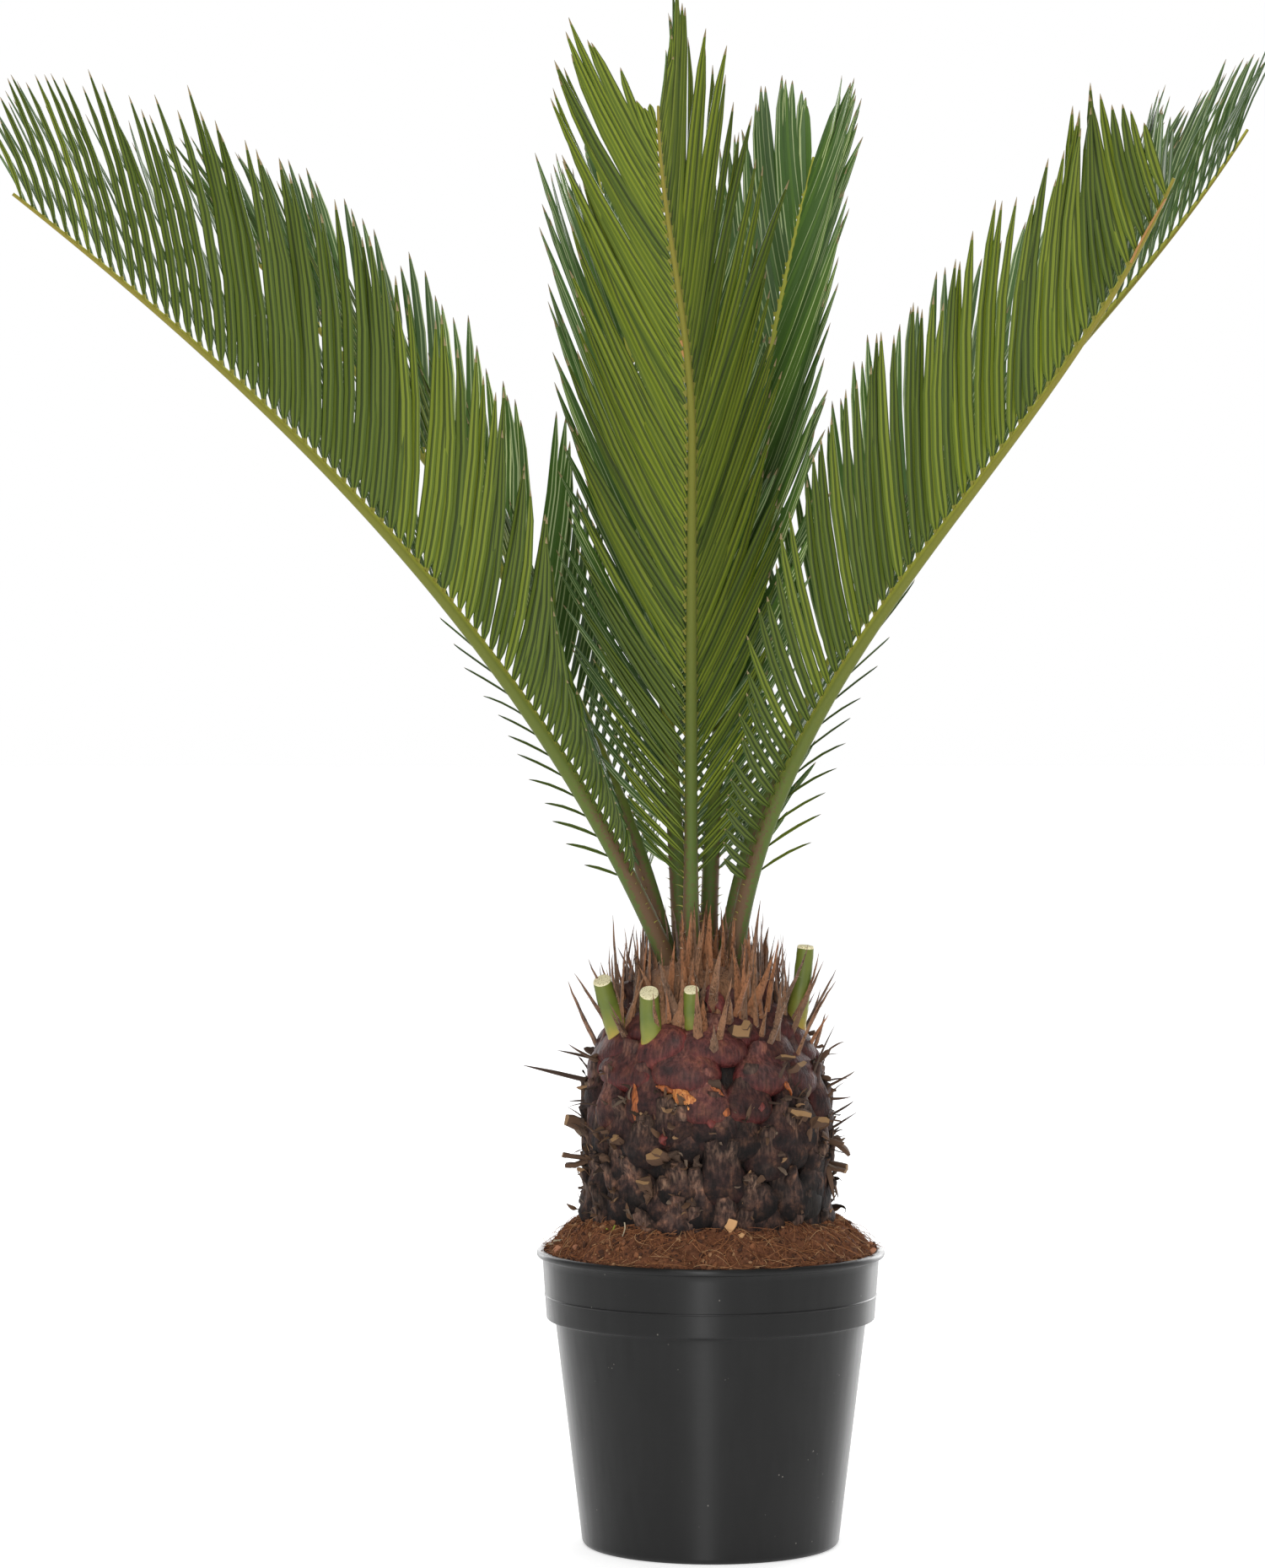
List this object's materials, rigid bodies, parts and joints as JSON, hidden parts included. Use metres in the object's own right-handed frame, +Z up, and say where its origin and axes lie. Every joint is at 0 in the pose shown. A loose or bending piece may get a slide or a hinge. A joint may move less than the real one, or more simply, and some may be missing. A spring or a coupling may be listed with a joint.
{
  "type": "potted sago palm",
  "caption": "Potted sago palm: a scaly barrel-shaped trunk with cut leaf stalks under a felted crown of arching feather fronds, in soil in a plain black round nursery pot.",
  "frame": {"origin": "centre of the pot's flat underside, which the plant stands on", "axes": "+Z up along the pot's axis, -Y the front, +X to the right seen from the front"},
  "size_m": [0.6316, 0.3782, 0.7476],
  "materials": {
    "pot_plastic": "satin",
    "potting_mix": "matte",
    "trunk_scales": "matte",
    "crown_felt": "matte",
    "stalk": "satin",
    "leaflets": "satin"
  },
  "bodies": {
    "root": {"pot": "pot_plastic", "soil": "potting_mix", "trunk": "trunk_scales", "crown": "crown_felt", "stub_left": "stalk", "stub_front_left": "stalk", "stub_front": "stalk", "stub_right": "stalk", "rib_front": "stalk", "rib_front_left": "stalk", "rib_front_right": "stalk", "rib_right": "stalk", "rib_back_right": "stalk", "rib_back_left": "stalk", "rib_left": "stalk", "blade_front_a": "leaflets", "blade_front_b": "leaflets", "blade_front_left_a": "leaflets", "blade_front_left_b": "leaflets", "blade_front_right_a": "leaflets", "blade_front_right_b": "leaflets", "blade_right_a": "leaflets", "blade_right_b": "leaflets", "blade_back_right_a": "leaflets", "blade_back_right_b": "leaflets", "blade_back_left_a": "leaflets", "blade_back_left_b": "leaflets", "blade_left_a": "leaflets", "blade_left_b": "leaflets"}
  },
  "joints": []
}
